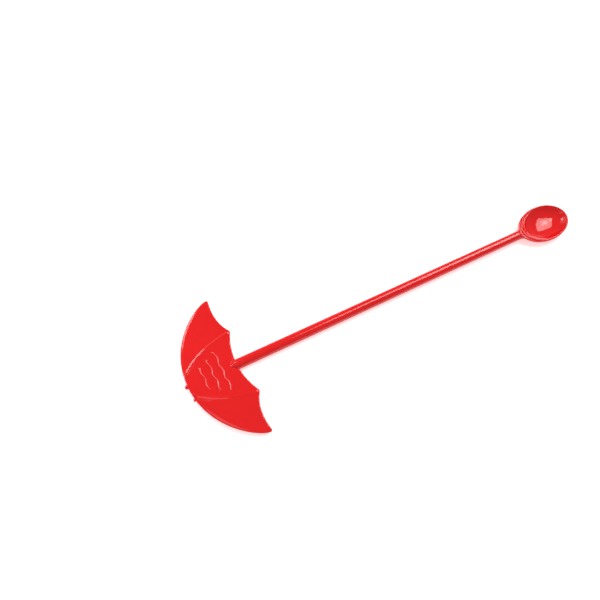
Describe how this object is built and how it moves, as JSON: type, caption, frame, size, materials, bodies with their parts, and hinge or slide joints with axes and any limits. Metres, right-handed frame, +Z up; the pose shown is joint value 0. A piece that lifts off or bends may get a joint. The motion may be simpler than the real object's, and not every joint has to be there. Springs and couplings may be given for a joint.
{
  "type": "drink stirrer",
  "caption": "Long moulded plastic drink stirrer with a flat umbrella-shaped head, raised ribs between its panels, a round tapering stick and a small oval spoon at the other end.",
  "frame": {"origin": "on the table under the middle of the stirrer's bounding box, with the stirrer lying on the stick's root and the bottom of its spoon", "axes": "+X along the stick from the umbrella to the spoon, +Y across the umbrella, +Z up out of the spoon's hollow"},
  "size_m": [0.2204, 0.0714, 0.0059],
  "materials": {
    "red_plastic": "glossy opaque red, as moulded"
  },
  "bodies": {
    "root": {"middle_gore": "red_plastic", "left_gore": "red_plastic", "right_gore": "red_plastic", "left_rib": "red_plastic", "right_rib": "red_plastic", "ferrule_tip": "red_plastic", "gate_nub": "red_plastic", "stick": "red_plastic", "spoon_neck": "red_plastic", "spoon_bowl": "red_plastic", "spoon_rim": "red_plastic"}
  },
  "joints": []
}
